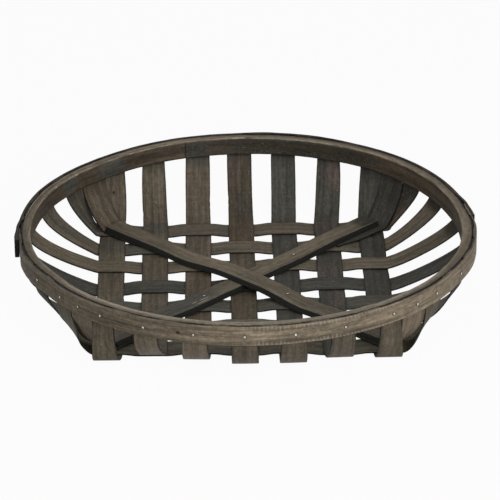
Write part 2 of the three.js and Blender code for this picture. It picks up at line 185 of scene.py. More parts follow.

# Braces: the lower and the upper one's direction, shift to its right and extra length at the back.
# The foot of a front side stands out by BRACE_SLANT, so that the near-black side also covers, as painted
# shade, where the brace's shadow falls. The upper one comes down over BRACE_BEND beside the lower one,
# and both come up onto the corner splints over BRACE_LIFT.
BRACE_WIDTH = 22.5
BRACE_THICKNESS = 5.5
BRACE_END_GAP = 2
BRACE_DIRECTIONS = [44.7, -45.5]
BRACE_SHIFTS = [-6, -0.3]
BRACE_EXTRA = [0, 3]
BRACE_SLANT = 2.6
BRACE_BEND = 75
BRACE_LIFT = 50
BRACE_REST = 3
BRACE_POINTS = 150

# The bevel of a strip's arrises, and how far in their finish fades
SPLINT_BEVEL, SPLINT_MARGIN = 0.3, 1.3
BRACE_BEVEL, BRACE_MARGIN = 0.45, 1

# Nails: a head leans by up to NAIL_TILT and is sunk a little
HEAD_RADIUS = 2
HEAD_THICKNESS = 0.7
NAIL_TILT = 0.06
NAIL_SINK = 0.12

# Sizes that follow
SPLINT_OUTER_FACE = RIM_RADIUS - OUTER_HOOP_THICKNESS - FIT
SPLINT_RADIUS = SPLINT_OUTER_FACE - SPLINT_THICKNESS / 2
INNER_HOOP_OUTSIDE = SPLINT_OUTER_FACE - SPLINT_THICKNESS - FIT
INNER_HOOP_INSIDE = INNER_HOOP_OUTSIDE - INNER_HOOP_THICKNESS
RIM_ENTRY = RIM_TOP - max(OUTER_HOOP_HEIGHT, INNER_HOOP_HEIGHT) - ENTRY_MARGIN
LOW_LEVEL = SPLINT_THICKNESS / 2
LAYER = SPLINT_THICKNESS + FIT
HIGH_LEVEL = LOW_LEVEL + LAYER
CORNER_LEVEL = HIGH_LEVEL + LAYER
BRACE_LEVEL = HIGH_LEVEL + LAYER / 2 + (BRACE_THICKNESS + FIT) / 2
BRACE_LENGTH = 2 * (CORNER_SPLINT_REACH - BRACE_END_GAP)
MIDDLE = (SPLINTS_EACH_WAY - 1) / 2
CORNER_SPREAD = (CORNER_SPLINT_WIDTH + SPLINT_WIDTH) / 2 + CORNER_GAP
CORNER_END = 45 - math.degrees(CORNER_SPREAD / SPLINT_RADIUS)
CORNER_SWING = max(abs(shift) for _, shift, _, _ in CORNER_SPLINTS.values())
CORNER_FOOT = (CORNER_SPLINT_REACH + CORNER_SPLINT_WIDTH / 2 + CORNER_SWING) * math.sqrt(0.5)
END_STEP = CORNER_END / MIDDLE


def outward(azimuth):
    a = math.radians(azimuth)
    return np.array([math.sin(a), math.cos(a), 0.0])


def sideways(azimuth):
    a = math.radians(azimuth)
    return np.array([math.cos(a), -math.sin(a), 0.0])


def smooth(t):
    s = np.clip(t, 0, 1)
    return s * s * (3 - 2 * s)


def unit(v):
    return v / np.maximum(np.linalg.norm(v, axis=-1, keepdims=True), 1e-9)


def wobble(s, seed, wavelength, amount):
    """A smooth random wave along s."""
    rng = random.Random(seed)
    value = np.zeros_like(s, dtype=float)
    for octave in range(4):
        phase = rng.uniform(0, 2 * math.pi)
        stretch = wavelength * rng.uniform(0.8, 1.25) / 1.9 ** octave
        value += np.sin(2 * math.pi * s / stretch + phase) * 0.6 ** octave
    return value * amount / 2


def out_of_round(points):
    """Points with the rim's real shape: nearer the rim, they move outwards or inwards with it."""
    radius = np.hypot(points[..., 0], points[..., 1])
    azimuth = np.degrees(np.arctan2(points[..., 0], points[..., 1]))
    shape = np.interp(azimuth, *np.transpose(RIM_SHAPE), period=360)
    near, full = RIM_SHAPE_REACH
    push = shape * smooth((radius - near) / (full - near)) / np.maximum(radius, 1)
    return points + points * push[..., None] * [1, 1, 0]


# Meshes

CUT_END = 0.02
SHARP_ANGLE = 38


def sweep(name, points, wide, inner, run, sections, finish):
    """A closed body along a line of points, with one ring of (across, up) places at each point.

    Each vertex keeps its place in the strip (run, across, up) and its finish: wear, darkness (stain, and
    painted shade on the braces' sides) and painted shade under the hoop. The cut ends are dark, and
    nothing reaches under the floor.
    """
    finish = np.broadcast_to(finish, (*sections.shape[:2], 3))
    points, wide, inner, run, sections, finish = (
        np.concatenate([v[:1], v, v[-1:]]) for v in (points, wide, inner, run, sections, finish))
    count, ring = sections.shape[:2]
    finish[[0, -1]] = (0, 1, 0)
    places = (points[:, None, :]
              + wide[:, None, :] * sections[..., :1]
              + inner[:, None, :] * sections[..., 1:])
    places[0] += unit(places[1] - places[2]) * CUT_END
    places[-1] += unit(places[-2] - places[-3]) * CUT_END
    places = out_of_round(places)
    places[..., 2] = np.maximum(places[..., 2], 0)
    mesh = bpy.data.meshes.new(name)
    mesh.from_pydata((places.reshape(-1, 3) * MM).tolist(), [], tube_faces(count, ring))
    strip = np.concatenate([np.broadcast_to(run[:, None, None], (count, ring, 1)), sections], 2)
    write_vectors(mesh, "place", strip.reshape(-1, 3) * MM)
    write_vectors(mesh, "finish", finish.reshape(-1, 3))
    return finish_mesh(name, mesh)


def tube_faces(count, ring):
    faces = []
    for i in range(count - 1):
        for k in range(ring):
            a, b = i * ring + k, i * ring + (k + 1) % ring
            faces.append((a, b, b + ring, a + ring))
    faces.append(tuple(range(ring - 1, -1, -1)))
    faces.append(tuple(range((count - 1) * ring, count * ring)))
    return faces


def write_vectors(mesh, name, values):
    layer = mesh.attributes.new(name, "FLOAT_VECTOR", "POINT")
    layer.data.foreach_set("vector", np.ascontiguousarray(values, dtype=np.float32).ravel())


def new_object(name, data):
    made = bpy.data.objects.new(name, data)
    bpy.context.scene.collection.objects.link(made)
    return made


def finish_mesh(name, mesh):
    mesh.validate()
    work = bmesh.new()
    work.from_mesh(mesh)
    bmesh.ops.recalc_face_normals(work, faces=work.faces)
    work.to_mesh(mesh)
    work.free()
    mesh.polygons.foreach_set("use_smooth", [True] * len(mesh.polygons))
    mesh.set_sharp_from_angle(angle=math.radians(SHARP_ANGLE))
    return new_object(name, mesh)


def dress(piece, node, material):
    piece.data.materials.append(material)
    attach(piece, "root")
    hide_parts(node)


# Strips: splints and braces. A ring has places at these shares of the half width, in a face with its
# arrises, and the foot of each edge is two of its places.

SHARES = (-0.62, -0.2, 0.2, 0.62)
FACE = len(SHARES) + 4
RIGHT_FOOT = slice(FACE + 1, FACE + 3)
LEFT_FOOT = slice(2 * FACE + 1, 2 * FACE + 3)


def strip_section(halves, thickness, bevel, margin, lift=None):
    """Rings of a flat strip: its upper side, one edge, its lower side and the other edge."""
    left, right = halves
    face = [bevel - left, bevel + margin - left]
    face += [share * (left if share < 0 else right) for share in SHARES]
    face += [right - bevel - margin, right - bevel]
    top, low = thickness / 2, thickness / 2 - bevel
    rows = [(u, top) for u in face] + [(right, low), (right, -low)]
    rows += [(u, -top) for u in reversed(face)] + [(-left, -low), (-left, low)]
    section = np.array([[u, np.full(len(left), n)] for u, n in rows]).transpose(2, 0, 1)
    if lift:
        section[..., 1] += lift(section[..., 0])
    return section


def strip_finish(arris, edge, underside=(0, 0, 0)):
    """Finish for each place of a ring, from that of the arrises, of the edges and underneath."""
    plain = [(0, 0, 0)] * (len(SHARES) + 2)
    below = [underside] * (len(SHARES) + 2)
    return np.array([arris, *plain, arris, edge, edge, arris, *below, arris, edge, edge], float)


def wall_line(foot, azimuth, wall):
    """Points of one wall, from the floor's edge to the rim, and how far along it each one is."""
    flat, upright = wall
    top = outward(azimuth) * SPLINT_RADIUS
    run = (top - foot)[:2]
    length = np.linalg.norm(run)
    run = np.array([*(run / length), 0])
    t = np.linspace(0, 1, WALL_POINTS)[1:, None]
    corners = [(0, foot[2]), (flat, foot[2]), (length, RIM_ENTRY - upright), (length, RIM_ENTRY)]
    weights = [(1 - t) ** 3, 3 * (1 - t) ** 2 * t, 3 * (1 - t) * t ** 2, t ** 3]
    curve = sum(w * np.array(c) for w, c in zip(weights, corners))
    points = foot * [1, 1, 0] + run * curve[:, :1]
    points[:, 2] = curve[:, 1]
    upper = np.linspace(RIM_ENTRY, RIM_TOP - END_DROP, RIM_POINTS)[1:]
    rim = np.tile(top, (len(upper), 1))
    rim[:, 2] = upper
    return np.vstack([points, rim]), np.append(t.ravel(), np.ones(len(upper)))


def floor_levels(places, floor):
    """Heights along a floor of (place, level) corners, with smooth steps between the levels."""
    levels = np.interp(places, [f[0] for f in floor], [f[1] for f in floor])
    for (a, low), (b, high) in zip(floor, floor[1:]):
        between = (places >= a) & (places <= b)
        levels[between] = low + (high - low) * smooth((places[between] - a) / max(b - a, 1e-6))
    return levels


def splint_frames(direction, lane, floor, ends, stray):
    """Evenly spaced points of a splint, its sideways and upward directions, how far along it each
    point is from its middle line and how much of the rim's bow it has."""
    along, across = outward(direction), sideways(direction)
    places = np.arange(floor[0][0], floor[-1][0], STEP)
    shift = np.interp(places, STRAY_PLACES, stray)
    flat = along * places[:, None] + across * (lane + shift[:, None])
    flat[:, 2] = floor_levels(places, floor)
    parts, aims, bows = [flat], [np.tile(across, (len(flat), 1))], [np.zeros(len(flat))]
    for side, end in zip((-1, 1), ends):
        if end is None:
            continue
        azimuth, wall = end
        line, t = wall_line(flat[0] if side < 0 else flat[-1], azimuth, wall)
        turned = smooth((t - TWIST_START) / (1 - TWIST_START))
        around = sideways(azimuth)
        around = around * np.sign(np.dot(around, across))
        aim = unit(across * (1 - turned[:, None]) + around * turned[:, None])
        order = slice(None, None, side)
        at = len(parts) if side > 0 else 0
        parts.insert(at, line[order])
        aims.insert(at, aim[order])
        bows.insert(at, turned[order])
    points, aims, bows = np.vstack(parts), np.vstack(aims), np.concatenate(bows)
    return resample(points, aims, bows, points @ along)


def resample(points, aims, bows, reach):
    """The same line with points a step apart, for splint_frames."""
    gaps = np.linalg.norm(np.diff(points, axis=0), axis=1)
    run = np.concatenate([[0], np.cumsum(gaps)])
    even = np.linspace(0, run[-1], int(run[-1] / STEP) + 1)
    line, aim = (np.stack([np.interp(even, run, v) for v in values.T], 1) for values in (points, aims))
    tangent = unit(np.gradient(line, axis=0))
    wide = unit(aim - tangent * np.sum(aim * tangent, 1, keepdims=True))
    inner = unit(np.cross(wide, tangent))
    middle = np.interp(0, reach, run) - max(reach[0], 0)
    return line, wide, inner, even - middle, np.interp(even, run, bows)


def nicks(run, seed):
    """Small torn places along an edge."""
    rng = random.Random(seed)
    loss = np.zeros_like(run)
    for _ in range(rng.randint(1, MOST_NICKS)):
        middle = rng.uniform(run[0] * NICKED_SHARE, run[-1] * NICKED_SHARE)
        depth = rng.uniform(*NICK_DEPTH)
        loss += depth * np.exp(-((run - middle) / rng.uniform(*NICK_LENGTH)) ** 2)
    return loss


def splint(name, direction, lane, floor, ends, width, seed, stray=NO_STRAY, bulges=NO_BULGE,
           tops=None, taper=0):
    """A splint. tops is its half width at the rim on either side, if it isn't that of the floor, and
    taper is how much each side of its start narrows."""
    shift, wider, wider_walls = stray
    points, wide, inner, run, bow = splint_frames(direction, lane, floor, ends, shift)
    near, full = STRAY_REACH
    on_wall = smooth((np.abs(run) - near) / (full - near))
    half = width / 2 + (wider * (1 - on_wall) + wider_walls * on_wall * (1 - bow)) / 2
    low, high = BULGE_REACH
    bulge = np.sin(math.pi * np.clip((points[:, 2] - low) / (high - low), 0, 1)) ** 2
    bulge = bulge[:, None] * np.where(run[:, None] < 0, *bulges)
    half = half - taper * (1 - smooth((run - run[0]) / CORNER_SPLINT_TAPER[1]))
    halves = [half + bow * ((tops[k] if tops else width / 2) - width / 2) + bulge[:, k]
              + wobble(run, seed + k, *EDGE_WAVE) + wobble(run, seed + k + 2, *EDGE_ROUGHNESS)
              - nicks(run, seed + k) for k in (0, 1)]
    warp = np.abs(wobble(run, seed + 5, *WARP))
    cup = np.abs(wobble(run, seed + 6, *CUP))

    def lift(across):
        curve = bow[:, None] / (2 * SPLINT_RADIUS) + cup[:, None] / (width / 2) ** 2
        return curve * across ** 2 + warp[:, None]

    sections = strip_section(halves, SPLINT_THICKNESS, SPLINT_BEVEL, SPLINT_MARGIN, lift)
    finish = np.tile(strip_finish((0, 0.8, 0), (0, 1, 0)), (len(run), 1, 1))
    # Painted shade: darker up the wall towards the hoop, and fainter on the outer side
    finish[..., 2] = smooth((points[:, 2:] - HOOP_SHADE_START) / (RIM_ENTRY - HOOP_SHADE_START))
    finish[:, RIGHT_FOOT.stop:, 2] *= OUTER_HOOP_SHADE
    return sweep(name, points, wide, inner, run, sections, finish)


numbers = range(SPLINTS_EACH_WAY)
column_lanes = [COLUMN_SHIFT + (i - MIDDLE) * SPLINT_PITCH for i in numbers]
row_lanes = [(i - MIDDLE) * SPLINT_PITCH - ROW_NUDGES[i] for i in numbers]


def woven_floor(i, crossings, is_over):
    """Corners (place, level) of a splint's way over and under those that it crosses."""
    reach = SPLINT_WIDTH / 2 + CROSSING_MARGIN
    floor = []
    for at, number in crossings:
        level = HIGH_LEVEL if is_over(number) else LOW_LEVEL
        floor += [[at - reach, level], [at + reach, level]]
    if is_outermost(i):
        floor[0][0] = min(floor[0][0], -CORNER_FOOT)
        floor[-1][0] = max(floor[-1][0], CORNER_FOOT)
    return floor


def is_outermost(i):
    return i in (0, SPLINTS_EACH_WAY - 1)


def column_azimuths(i):
    """Where a column splint ends at the front and at the back."""
    even = (i - MIDDLE) * END_STEP
    return (180 - even - COLUMN_FRONT_NUDGES[i], even + COLUMN_BACK_NUDGES[i])


def row_azimuths(i):
    """Where a row splint ends on the left and on the right."""
    even = (i - MIDDLE) * END_STEP
    return (270 - even - ROW_LEFT_NUDGES[i], 90 + even + ROW_RIGHT_NUDGES[i])


def column_splint(i):
    crossings = [(-row_lanes[k], k) for k in reversed(numbers)]
    floor = woven_floor(i, crossings, lambda row: (row + i) % 2 == 1)
    walls = ((FRONT_FLATS[i], FRONT_UPRIGHT), OUTERMOST_WALL if is_outermost(i) else BACK_WALL)
    return splint(f"column_splint_{i + 1}_wood", 0, column_lanes[i], floor,
                  list(zip(column_azimuths(i), walls)), SPLINT_WIDTH, 10 + i, COLUMN_STRAYS[i])


def row_splint(i):
    crossings = [(column_lanes[k], k) for k in numbers]
    floor = woven_floor(i, crossings, lambda column: (column + i) % 2 == 0)
    walls = (LEFT_WALLS[i], RIGHT_WALLS[i])
    return splint(f"row_splint_{i + 1}_wood", 90, row_lanes[i], floor,
                  list(zip(row_azimuths(i), walls)), SPLINT_WIDTH, 20 + i, ROW_STRAYS[i],
                  ROW_BULGES.get(i, NO_BULGE))


def corner_splint(corner, seed):
    """A short splint that fills the place between its neighbours' ends at the rim."""
    direction, shift, turn, wall = CORNER_SPLINTS[corner]
    azimuth = (direction + turn) % 360
    floor = [(CORNER_SPLINT_START, CORNER_LEVEL), (CORNER_SPLINT_REACH, CORNER_LEVEL)]
    beside = [a % 360 for a in splint_azimuths() if abs(a % 360 - azimuth) < NEIGHBOUR_REACH]
    tops = [math.radians(abs(a - azimuth)) * SPLINT_RADIUS - SPLINT_WIDTH / 2 - FIT
            for a in sorted(beside)]
    return splint(f"corner_splint_{corner}_wood", direction, shift, floor,
                  [None, (azimuth, wall)], CORNER_SPLINT_WIDTH, seed, tops=tops,
                  taper=CORNER_SPLINT_TAPER[0])


def splint_azimuths():
    return [a for i in numbers for a in (*column_azimuths(i), *row_azimuths(i))]


def brace_level(i, distance):
    """Height of a brace's middle at a distance from the middle of the floor."""
    clear = BRACE_WIDTH / 2 + BRACE_REST + abs(BRACE_SHIFTS[1 - i])
    crest = i * (BRACE_THICKNESS + FIT) * (1 - smooth((np.abs(distance) - clear) / BRACE_BEND))
    resting = CORNER_SPLINT_START - BRACE_REST
    lift = LAYER * smooth((np.abs(distance) - resting) / BRACE_LIFT + 1)
    return BRACE_LEVEL + np.maximum(crest, lift)


def brace(i):
    along, across = outward(BRACE_DIRECTIONS[i]), sideways(BRACE_DIRECTIONS[i])
    run = np.linspace(-BRACE_LENGTH / 2, BRACE_LENGTH / 2 + BRACE_EXTRA[i], BRACE_POINTS)
    points = along * run[:, None] + across * BRACE_SHIFTS[i]
    points[:, 2] = brace_level(i, run)
    tangent = unit(np.gradient(points, axis=0))
    wide = np.tile(across, (len(run), 1))
    inner = unit(np.cross(wide, tangent))
    halves = [BRACE_WIDTH / 2 + wobble(run, 40 + i + 2 * k, *BRACE_WAVE) for k in (0, 1)]
    sections = strip_section(halves, BRACE_THICKNESS, BRACE_BEVEL, BRACE_MARGIN)
    sections[:, (RIGHT_FOOT, LEFT_FOOT)[i], 0] += (BRACE_SLANT, -BRACE_SLANT)[i]
    # The sides and underside are near black: stain, and painted shade for the shadow under the brace
    finish = strip_finish((0.5, 0, 0), (0, 1.35, 0), (0, 0.6, 0))
    name = f"brace_{('lower', 'upper')[i]}_wood"
    return sweep(name, points, wide, inner, run, sections, finish)


# Hoops


def band(name, azimuth, inner, outer, height, wear, seed, finish, rise=0, drop=0):
    """A bent band between an inner and an outer face: rings of (outward, up) places round its section,
    one at each azimuth. rise and drop are how much higher its top is and how much lower it reaches."""
    run = np.radians(azimuth) * RIM_RADIUS
    thickness = outer - inner
    waves = np.abs(wobble(run, seed, *TOP_WAVE)), np.abs(wobble(run, seed + 1, *TOP_ROUGHNESS))
    top = RIM_TOP - waves[0] - waves[1] + rise
    bottom = RIM_TOP - height + np.abs(wobble(run, seed + 2, *BOTTOM_WAVE)) - drop
    worn = np.minimum(wear * (1 + wobble(run, seed + 3, *WEAR_WAVE)), thickness / 2.2)
    arris = np.minimum(BAND_ARRIS, thickness / 4)
    inner_side = [(inner, bottom + arris), (inner, bottom + arris + 1.2),
                  (inner, bottom + height * 2 / 3), (inner, top - worn - 0.8), (inner, top - worn)]
    upper_side = [(inner + worn * 0.18, top - worn * 0.35), (inner + worn * 0.6, top),
                  ((inner + outer) / 2, top), (outer - arris, top)]
    outer_side = [(outer, top - arris), (outer, top - arris - 0.8), (outer, bottom + height / 2),
                  (outer, bottom + arris + 0.8), (outer, bottom + arris)]
    under_side = [(outer - arris, bottom), (inner + arris, bottom)]
    profile = inner_side + upper_side + outer_side + under_side
    sections = np.array([[np.broadcast_to(r, run.shape), z] for r, z in profile]).transpose(2, 0, 1)
    out = np.array([outward(a) for a in azimuth])
    up = np.tile([0, 0, 1.0], (len(run), 1))
    return sweep(name, 0 * out, out, up, run, sections, np.array(finish, float))


# Finish for each place of a band's section, from the foot of its inner face round by the top
PLAIN, DARK = (0, 0, 0), (0, 1, 0)
INNER_FINISH = [(0, 0.9, 0), PLAIN, PLAIN, PLAIN, (0.4, 0, 0), (1, 0, 0), (0.7, 0, 0), (0.15, 0, 0),
                (0, 0.5, 0), *[DARK] * 7]
BACK_FINISH = [*[DARK] * 5, (0, 0.9, 0), (0, 0.7, 0), (0, 0.7, 0), (0, 0.8, 0), (0, 0.7, 0), PLAIN,
               PLAIN, PLAIN, (0, 0.5, 0), DARK, DARK]
FRONT_FINISH = [*[DARK] * 6, (0, 0.8, 0), (0, 0.3, 0), (0.3, 0, 0), (0.5, 0, 0), PLAIN, PLAIN, PLAIN,
                (0.2, 0, 0), (0, 0.7, 0), DARK]


def spread(start, end):
    return np.linspace(start, end, int(abs(end - start) / HOOP_STEP) + 2)


def inner_hoop():
    """One hoop from the scarf's outer half round to its inner half, which lies inside the other."""
    gap = math.degrees(FIT / INNER_HOOP_INSIDE)
    past_gap = 1.05 * gap
    scarf = spread(SCARF_START, SCARF_END)
    share = (scarf - SCARF_START) / (SCARF_END - SCARF_START)
    first, last = INNER_HOOP_OUTSIDE - SCARF_TIP, INNER_HOOP_INSIDE + SCARF_TIP
    split = first + (last - first) * share
    full = spread(SCARF_END + past_gap, SCARF_START + 360 - past_gap)
    azimuth = np.concatenate([scarf, [SCARF_END + gap], full, [SCARF_START + 360 - gap], scarf + 360])
    inside = np.concatenate([split + FIT / 2, [last + FIT / 2],
                             np.full(len(full) + 1 + len(scarf), INNER_HOOP_INSIDE)])
    outside = np.concatenate([np.full(len(scarf) + 1 + len(full), INNER_HOOP_OUTSIDE),
                              [first - FIT / 2], split - FIT / 2])
    drop = np.interp(azimuth, *INNER_HOOP_DROP)
    inside = inside - np.interp(azimuth, *INNER_HOOP_EXTRA)
    return band("inner_hoop_wood", azimuth, inside, outside, INNER_HOOP_HEIGHT, INNER_HOOP_WEAR, 50,
                INNER_FINISH, drop=drop)


def back_band_lift(azimuth):
    """How far out the back band lies, to pass over the front band's ends."""
    past = np.maximum(azimuth - FRONT_BAND[0], FRONT_BAND[1] - 360 - azimuth) + LAP_MARGIN
    return (FRONT_BAND_TIP + FIT) * smooth(1 + past / LAP_RAMP)


def front_band_thickness(azimuth):
    clear = np.minimum(azimuth - BACK_BAND[1], BACK_BAND[0] + 360 - azimuth) - LAP_MARGIN
    return FRONT_BAND_TIP + (OUTER_HOOP_THICKNESS - FRONT_BAND_TIP) * smooth(clear / LAP_RAMP)


def between_splints(azimuth):
    """How far an outer band reaches in towards the inner hoop where no splint is between them."""
    ends = np.array(splint_azimuths() + [d + turn for d, _, turn, _ in CORNER_SPLINTS.values()])
    away = np.abs((azimuth[:, None] - ends + 180) % 360 - 180).min(1)
    clear = np.radians(away) * RIM_RADIUS - SPLINT_WIDTH / 2
    return SPLINT_THICKNESS * smooth((clear - REACH_START) / REACH_RAMP)


def outer_hoop_back():
    azimuth = spread(*BACK_BAND)
    inside = RIM_RADIUS - OUTER_HOOP_THICKNESS + back_band_lift(azimuth)
    past = np.maximum(azimuth - FRONT_BAND[0], FRONT_BAND[1] - 360 - azimuth)
    thicker = np.where(azimuth > 0, *LAP_EXTRA) * smooth(past / LAP_RAMP)
    outside = inside + OUTER_HOOP_THICKNESS + thicker
    inside = inside - between_splints(azimuth) * (back_band_lift(azimuth) < LAID_OVER)
    rise = np.interp(azimuth, *BACK_BAND_RISE)
    return band("outer_hoop_back_wood", azimuth, inside, outside, OUTER_HOOP_HEIGHT, BAND_WEAR, 60,
                BACK_FINISH, rise)


def outer_hoop_front():
    azimuth = spread(*FRONT_BAND)
    inside = np.full(len(azimuth), RIM_RADIUS - OUTER_HOOP_THICKNESS)
    outside = inside + front_band_thickness(azimuth)
    inside = inside - between_splints(azimuth)
    return band("outer_hoop_front_wood", azimuth, inside, outside, OUTER_HOOP_HEIGHT, BAND_WEAR, 70,
                FRONT_FINISH)


# Nails: a head's and shank's rings, as a share of the head's radius and of its thickness

NAIL_PROFILE = [(0, 0), (0.4, -0.02), (0.66, -0.12), (0.82, -0.4), (1, -0.62), (0.98, -0.8),
                (0.42, -0.85), (0.4, -2.2)]
NAIL_SIDES = 20


def nail_head(name, node, seed):
    """A worn round head and a short shank, in the place and direction of the frame's nail."""
    low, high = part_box(node)
    middle = np.array((low + high) / 2) / MM
    places = np.array([v.co for v in frame["nodes"][node].data.vertices]) / MM
    axis = np.array([0, 0, 1.0]) if node.startswith("brace") else unit(middle * [1, 1, 0])
    centre = middle + axis * ((places @ axis).max() - middle @ axis)
    side = unit(np.cross(axis, [0.3, 0.2, 0.9] if abs(axis[2]) < 0.5 else [1, 0, 0]))
    other = np.cross(axis, side)
    rng = random.Random(seed)
    tilt = [rng.uniform(-NAIL_TILT, NAIL_TILT) for _ in range(2)]
    verts, shares = [centre], [(0, 0, 0)]
    for radius, depth in NAIL_PROFILE[1:]:
        for k in range(NAIL_SIDES):
            a = 2 * math.pi * k / NAIL_SIDES
            u, v = (HEAD_RADIUS * radius * f for f in (math.cos(a), math.sin(a)))
            height = HEAD_THICKNESS * depth + tilt[0] * u + tilt[1] * v - NAIL_SINK
            verts.append(centre + side * u + other * v + axis * height)
            shares.append((0, radius if depth > -2 else 1, 0))
    mesh = bpy.data.meshes.new(name)
    mesh.from_pydata((out_of_round(np.array(verts)) * MM).tolist(), [], nail_faces())
    write_vectors(mesh, "finish", np.array(shares, float))
    return finish_mesh(name, mesh)


def nail_faces():
    """A fan over the head's middle, and a tube without its first cap."""
    fan = [(0, 1 + k, 1 + (k + 1) % NAIL_SIDES) for k in range(NAIL_SIDES)]
    tube = [tuple(1 + v for v in face) for face in tube_faces(len(NAIL_PROFILE) - 1, NAIL_SIDES)]
    return fan + tube[:-2] + tube[-1:]


# Materials: the stains, as the screen's red, green and blue

STAINS = {
    "tan": (122, 110, 93),
    "hazel": (105, 94, 79),
    "brown": (93, 84, 71),
    "walnut": (82, 74, 62),
    "umber": (75, 65, 53),
    "plum": (83, 72, 66),
    "olive": (75, 72, 59),
    "slate": (72, 71, 65),
    "charcoal": (59, 58, 52),
    "coal": (42, 41, 36),
    "black": (17, 17, 14),
    "pale": (168, 158, 142),
    # Near-white bare steel for the nail heads, which also paints their highlight
    "bright": (214, 208, 198),
}


# How fine each noise in the wood is, per metre along the grain, across it and through it, and its
# detail and roughness
NOISES = {
    "streaks": ((8, 190, 190), 5, 0.62),
    "fibres": ((45, 900, 900), 3, 0.6),
    "marks": ((340, 26, 26), 2, 0.6),
    "clouds": ((16, 38, 38), 4, 0.6),
    "mottles": ((150, 260, 260), 3, 0.65),
    "specks": ((420, 700, 700), 1, 0.55),
    "scuffs": ((50, 260, 260), 4, 0.7),
}

# How much darker and lighter the grain makes a stain, and the depth of its relief in millimetres
STREAK_SHADES = (0.36, 0.34)
FIBRE_SHADE = 0.16
MOTTLE_SHADE = 0.2
WOOD_ROUGHNESS = (0.55, 0.78)
WOOD_SPECULAR = 0.15
WOOD_RELIEF = 0.35
STEEL_RELIEF = 0.1

# Saw marks on the front band: their spacing, how far in they reach, and how they fade at each end
TICK_SPACING = 4.3
TICK_REACH = (2, 6)
TICK_FADE = 40
TICK_STRENGTH = 0.27


def linear(stain):
    """A stain as the shader's red, green, blue and alpha."""
    return [c / 12.92 if c <= 0.04045 else ((c + 0.055) / 1.055) ** 2.4
            for c in (v / 255 for v in STAINS[stain])] + [1]


class Graph:
    """The node tree of a material or a world, with short calls to add nodes and join them up."""

    def __init__(self, owner):
        self.owner = owner
        owner.use_nodes = True
        self.tree = owner.node_tree

    def add(self, kind, values=None, **settings):
        node = self.tree.nodes.new("ShaderNode" + kind)
        for key, value in settings.items():
            setattr(node, key, value)
        for key, value in (values or {}).items():
            self.put(node.inputs[key], value)
        return node

    def put(self, socket, value):
        if isinstance(value, bpy.types.NodeSocket):
            self.tree.links.new(value, socket)
        else:
            socket.default_value = value

    def paint(self, values):
        for key, value in values.items():
            self.put(self.tree.nodes["Principled BSDF"].inputs[key], value)

    def attribute(self, name):
        return self.add("Attribute", attribute_name=name).outputs["Vector"]

    def split(self, vector):
        return self.add("SeparateXYZ", {0: vector}).outputs

    def math(self, operation, *values):
        return self.add("Math", dict(enumerate(values)), operation=operation).outputs[0]

    def vector(self, operation, first, second):
        return self.add("VectorMath", {0: first, 1: second}, operation=operation).outputs[0]

    def noise(self, vector, factors, detail=3, roughness=0.55):
        values = {"Vector": self.vector("MULTIPLY", vector, factors), "Scale": 1, "Detail": detail,
                  "Roughness": roughness}
        return self.add("TexNoise", values).outputs["Fac"]

    def ramp(self, value, low, high, first=0, last=1):
        """A smooth change from first, where the value is low, to last, where it is high."""
        values = {"Value": value, "From Min": low, "From Max": high, "To Min": first, "To Max": last}
        return self.add("MapRange", values, interpolation_type="SMOOTHSTEP").outputs[0]

    def mix(self, factor, first, second, blend="MIX"):
        values = {"Factor": factor, 6: first, 7: second}
        return self.add("Mix", values, data_type="RGBA", blend_type=blend).outputs[2]

    def product(self, *values):
        result = values[0]
        for value in values[1:]:
            result = self.math("MULTIPLY", result, value)
        return result

    def spot(self, place, centre, reach, edge):
        """1 inside an egg-shaped spot and 0 outside it, with an uneven edge."""
        offset = self.vector("SUBTRACT", place, [c * MM for c in centre])
        scaled = self.vector("MULTIPLY", offset, [1 / (r * MM) for r in reach])
        length = self.add("VectorMath", {0: scaled}, operation="LENGTH").outputs["Value"]
        uneven = self.math("ADD", length, self.math("MULTIPLY", edge, 0.9))
        return self.ramp(uneven, 1.1, 1.75, 1, 0)

    def bump(self, height, distance, strength):
        node = self.add("Bump", {"Height": height, "Distance": distance, "Strength": strength})
        self.paint({"Normal": node.outputs[0]})


class Wood(Graph):
    """The node tree of a sawn wood, with noises that follow the strip's own grain."""

    def __init__(self, name, seed):
        super().__init__(bpy.data.materials.new(name))
        rng = random.Random(seed)
        self.place = self.attribute("place")
        self.grain = self.vector("ADD", self.place, [rng.uniform(-3, 3) for _ in range(3)])
        kinds = ("streaks", "fibres", "marks", "clouds", "mottles")
        self.streaks, self.fibres, self.marks, self.clouds, self.mottles = map(self.grain_noise, kinds)

    def grain_noise(self, kind):
        return self.noise(self.grain, *NOISES[kind])

    def cover(self, colour, factor, stain):
        return self.mix(factor, colour, linear(stain))

    def spotted(self, colour, centre, reach, edge, stain, amount):
        factor = self.product(self.spot(self.place, centre, reach, edge), amount)
        return self.cover(colour, factor, stain)


def stained(g, stain, mottle, amount, outside, top, patches):
    """A stain with clouds of a second one, that of the outer side or the top, and patches."""
    colour = g.cover(linear(stain), g.ramp(g.clouds, 0.44, 0.6, 0, amount), mottle)
    if outside:
        low = g.ramp(g.split(g.place)[2], -0.3 * MM, 0.3 * MM, 1, 0)
        colour = g.cover(colour, low, outside)
    if top:
        high = g.ramp(g.split(g.place)[2], (RIM_TOP - 1.6) * MM, (RIM_TOP - 0.8) * MM)
        colour = g.cover(colour, high, top)
    for centre, reach, patch_stain, much in patches:
        colour = g.spotted(colour, centre, reach, g.clouds, patch_stain, much)
    return colour


